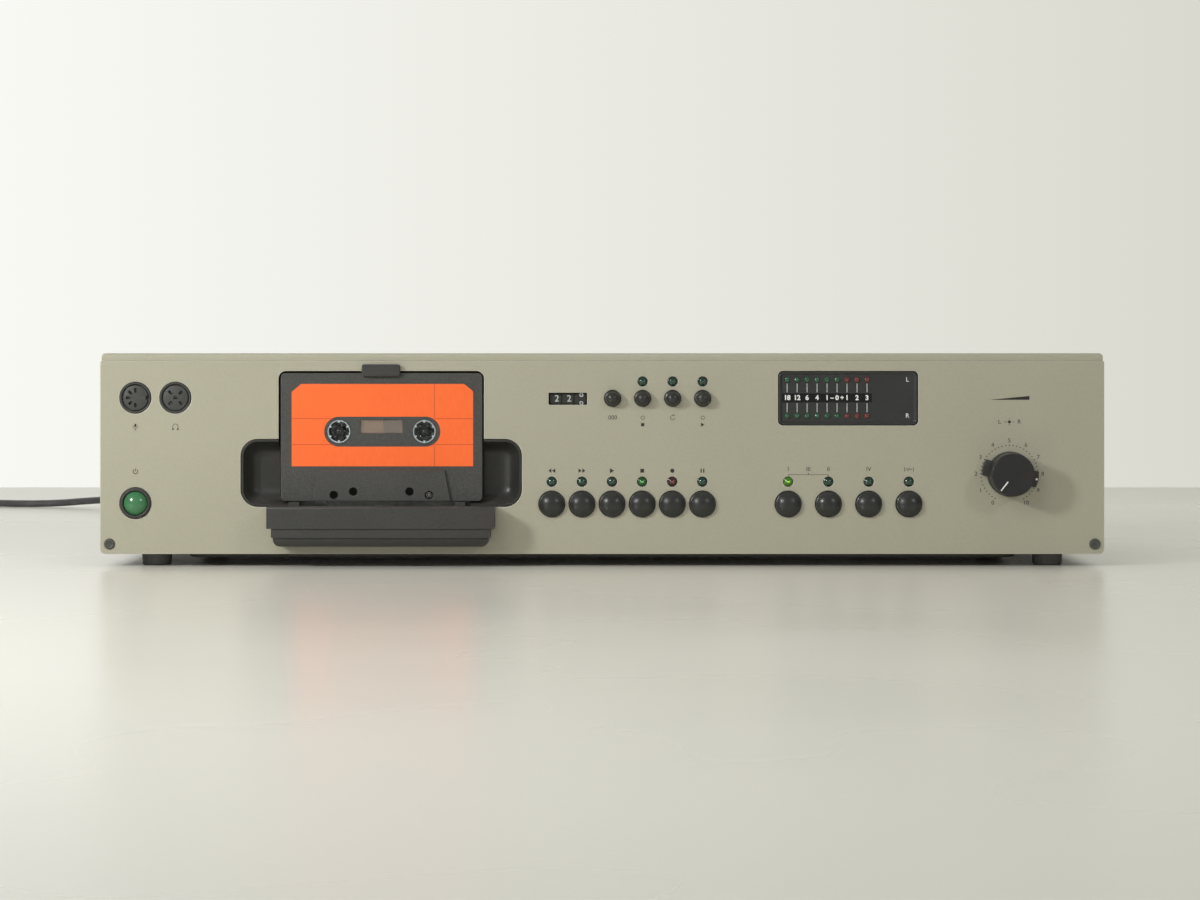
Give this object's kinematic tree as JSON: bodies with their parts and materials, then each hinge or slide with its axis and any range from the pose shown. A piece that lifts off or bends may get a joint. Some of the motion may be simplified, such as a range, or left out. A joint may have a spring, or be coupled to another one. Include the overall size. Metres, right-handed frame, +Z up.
{
  "type": "cassette deck",
  "caption": "Hi-fi cassette deck with an open cassette well, round push buttons, level meter, tape counter and concentric level knob, with its mains lead.",
  "frame": {"origin": "centre of the deck's footprint, at the level that the feet stand on", "axes": "+X to the right as seen from the front, +Y to the back, +Z up; the panel's controls face -Y"},
  "size_m": [0.8093, 0.7763, 0.1062],
  "materials": {
    "panel_paint": "satin",
    "black_steel": "satin",
    "zinc_steel": "plain",
    "black_plastic": "matt",
    "dark_plastic": "satin",
    "green_plastic": "gloss",
    "white_plastic": "satin",
    "clear_plastic": "clear",
    "meter_black": "gloss",
    "board": "matt",
    "rubber": "matt",
    "cord": "satin"
  },
  "bodies": {
    "deck": {"front_panel": "panel_paint", "top_cover": "panel_paint", "bottom_pan": "black_steel", "back_panel": "black_steel", "foot_front_left": "rubber", "foot_front_right": "rubber", "foot_back_left": "rubber", "foot_back_right": "rubber", "well_liner": "black_plastic", "head_cover": "dark_plastic", "cassette_catch": "dark_plastic", "transport_plate": "zinc_steel", "drive_motor": "zinc_steel", "drive_belt": "rubber", "control_board": "board", "meter_face": "meter_black", "counter_frame": "black_plastic", "level_potentiometer": "zinc_steel", "microphone_socket": "black_plastic", "headphone_socket": "black_plastic", "power_bezel": "black_plastic", "power_switch": "black_plastic", "main_board": "board", "rear_socket": "black_plastic", "strain_relief": "rubber", "mains_lead": "cord", "mains_lead_coil": "cord", "mains_plug": "cord"},
    "cassette": {"cassette_front_shell": "black_plastic", "cassette_back_shell": "black_plastic", "cassette_window": "clear_plastic"},
    "tape_pack_left": {"cassette_hub_left": "white_plastic"},
    "tape_pack_right": {"cassette_hub_right": "white_plastic"},
    "supply_spindle": {"spindle_left": "black_plastic"},
    "take_up_spindle": {"spindle_right": "black_plastic"},
    "capstan": {"flywheel": "zinc_steel"},
    "pulley": {"motor_pulley": "zinc_steel"},
    "reel_drive": {"reel_wheel": "rubber"},
    "heads": {"head_carriage": "zinc_steel"},
    "roller": {"pinch_roller": "rubber"},
    "power_key": {"power_button": "green_plastic"},
    "rewind_key": {"button_rewind": "dark_plastic"},
    "fast_forward_key": {"button_fast_forward": "dark_plastic"},
    "play_key": {"button_play": "dark_plastic"},
    "stop_key": {"button_stop": "dark_plastic"},
    "record_key": {"button_record": "dark_plastic"},
    "pause_key": {"button_pause": "dark_plastic"},
    "tape_type_one_key": {"button_tape_type_one": "dark_plastic"},
    "tape_type_two_key": {"button_tape_type_two": "dark_plastic"},
    "tape_type_four_key": {"button_tape_type_four": "dark_plastic"},
    "noise_reduction_key": {"button_noise_reduction": "dark_plastic"},
    "counter_reset_key": {"button_counter_reset": "dark_plastic"},
    "memory_stop_key": {"button_memory_stop": "dark_plastic"},
    "repeat_key": {"button_repeat": "dark_plastic"},
    "memory_start_key": {"button_memory_start": "dark_plastic"},
    "hundreds_wheel": {"counter_wheel_hundreds": "black_plastic"},
    "tens_wheel": {"counter_wheel_tens": "black_plastic"},
    "units_wheel": {"counter_wheel_units": "black_plastic"},
    "level_control": {"level_knob": "dark_plastic"},
    "balance_control": {"balance_ring": "dark_plastic"}
  },
  "joints": [
    {"name": "cassette_removal", "type": "slide", "parent": "deck", "child": "cassette", "axis": [0, -1, 0], "range_m": [0, 0.045], "deforming": ["cassette_catch"]},
    {"name": "tape_pack_left_spin", "type": "hinge", "parent": "cassette", "child": "tape_pack_left", "pos_m": [-0.1311, -0.13035, 0.0672], "axis": [0, 1, 0], "continuous": true},
    {"name": "tape_pack_right_spin", "type": "hinge", "parent": "cassette", "child": "tape_pack_right", "pos_m": [-0.0886, -0.13035, 0.0672], "axis": [0, 1, 0], "continuous": true},
    {"name": "supply_spindle_spin", "type": "hinge", "parent": "deck", "child": "supply_spindle", "pos_m": [-0.1311, -0.13035, 0.0672], "axis": [0, 1, 0], "continuous": true},
    {"name": "take_up_spindle_spin", "type": "hinge", "parent": "deck", "child": "take_up_spindle", "pos_m": [-0.0886, -0.13035, 0.0672], "axis": [0, 1, 0], "continuous": true},
    {"name": "capstan_spin", "type": "hinge", "parent": "deck", "child": "capstan", "pos_m": [-0.0862, -0.13035, 0.0357], "axis": [0, 1, 0], "continuous": true},
    {"name": "pulley_spin", "type": "hinge", "parent": "deck", "child": "pulley", "pos_m": [-0.162, -0.1102, 0.0357], "axis": [0, 1, 0], "continuous": true},
    {"name": "reel_drive_spin", "type": "hinge", "parent": "deck", "child": "reel_drive", "pos_m": [-0.10985, -0.1184, 0.0672], "axis": [0, 1, 0], "continuous": true},
    {"name": "head_lift", "type": "slide", "parent": "deck", "child": "heads", "axis": [0, 0, 1], "range_m": [0, 0.004], "stiffness_N_per_m": 200},
    {"name": "roller_spin", "type": "hinge", "parent": "heads", "child": "roller", "pos_m": [-0.0862, -0.13035, 0.02395], "axis": [0, 1, 0], "continuous": true},
    {"name": "power_press", "type": "slide", "parent": "deck", "child": "power_key", "axis": [0, 1, 0], "range_m": [0, 0.003], "stiffness_N_per_m": 400},
    {"name": "rewind_press", "type": "slide", "parent": "deck", "child": "rewind_key", "axis": [0, 1, 0], "range_m": [0, 0.002], "stiffness_N_per_m": 400},
    {"name": "fast_forward_press", "type": "slide", "parent": "deck", "child": "fast_forward_key", "axis": [0, 1, 0], "range_m": [0, 0.002], "stiffness_N_per_m": 400},
    {"name": "play_press", "type": "slide", "parent": "deck", "child": "play_key", "axis": [0, 1, 0], "range_m": [0, 0.002], "stiffness_N_per_m": 400},
    {"name": "stop_press", "type": "slide", "parent": "deck", "child": "stop_key", "axis": [0, 1, 0], "range_m": [0, 0.002], "stiffness_N_per_m": 400},
    {"name": "record_press", "type": "slide", "parent": "deck", "child": "record_key", "axis": [0, 1, 0], "range_m": [0, 0.002], "stiffness_N_per_m": 400},
    {"name": "pause_press", "type": "slide", "parent": "deck", "child": "pause_key", "axis": [0, 1, 0], "range_m": [0, 0.002], "stiffness_N_per_m": 400},
    {"name": "tape_type_one_press", "type": "slide", "parent": "deck", "child": "tape_type_one_key", "axis": [0, 1, 0], "range_m": [0, 0.002], "stiffness_N_per_m": 400},
    {"name": "tape_type_two_press", "type": "slide", "parent": "deck", "child": "tape_type_two_key", "axis": [0, 1, 0], "range_m": [0, 0.002], "stiffness_N_per_m": 400},
    {"name": "tape_type_four_press", "type": "slide", "parent": "deck", "child": "tape_type_four_key", "axis": [0, 1, 0], "range_m": [0, 0.002], "stiffness_N_per_m": 400},
    {"name": "noise_reduction_press", "type": "slide", "parent": "deck", "child": "noise_reduction_key", "axis": [0, 1, 0], "range_m": [0, 0.002], "stiffness_N_per_m": 400},
    {"name": "counter_reset_press", "type": "slide", "parent": "deck", "child": "counter_reset_key", "axis": [0, 1, 0], "range_m": [0, 0.002], "stiffness_N_per_m": 400},
    {"name": "memory_stop_press", "type": "slide", "parent": "deck", "child": "memory_stop_key", "axis": [0, 1, 0], "range_m": [0, 0.002], "stiffness_N_per_m": 400},
    {"name": "repeat_press", "type": "slide", "parent": "deck", "child": "repeat_key", "axis": [0, 1, 0], "range_m": [0, 0.002], "stiffness_N_per_m": 400},
    {"name": "memory_start_press", "type": "slide", "parent": "deck", "child": "memory_start_key", "axis": [0, 1, 0], "range_m": [0, 0.002], "stiffness_N_per_m": 400},
    {"name": "hundreds_spin", "type": "hinge", "parent": "deck", "child": "hundreds_wheel", "pos_m": [-0.0232, -0.1239, 0.0835], "axis": [1, 0, 0], "continuous": true},
    {"name": "tens_spin", "type": "hinge", "parent": "deck", "child": "tens_wheel", "pos_m": [-0.0171, -0.1239, 0.0835], "axis": [1, 0, 0], "continuous": true},
    {"name": "units_spin", "type": "hinge", "parent": "deck", "child": "units_wheel", "pos_m": [-0.011, -0.1239, 0.0835], "axis": [1, 0, 0], "continuous": true},
    {"name": "level_turn", "type": "hinge", "parent": "deck", "child": "level_control", "pos_m": [0.20271, -0.1342, 0.0461], "axis": [0, 1, 0], "range_deg": [-10, 290]},
    {"name": "balance_turn", "type": "hinge", "parent": "deck", "child": "balance_control", "pos_m": [0.20271, -0.1342, 0.0461], "axis": [0, 1, 0], "range_deg": [-40, 40]}
  ],
  "couplings": [
    {"joint": "tape_pack_right_spin", "follows": "take_up_spindle_spin", "ratio": 1},
    {"joint": "supply_spindle_spin", "follows": "take_up_spindle_spin", "ratio": 0.77477},
    {"joint": "tape_pack_left_spin", "follows": "take_up_spindle_spin", "ratio": 0.77477},
    {"joint": "units_spin", "follows": "take_up_spindle_spin", "ratio": 0.05},
    {"joint": "tens_spin", "follows": "take_up_spindle_spin", "ratio": 0.005},
    {"joint": "hundreds_spin", "follows": "take_up_spindle_spin", "ratio": 0.0005},
    {"joint": "pulley_spin", "follows": "capstan_spin", "ratio": 5.3469}
  ]
}
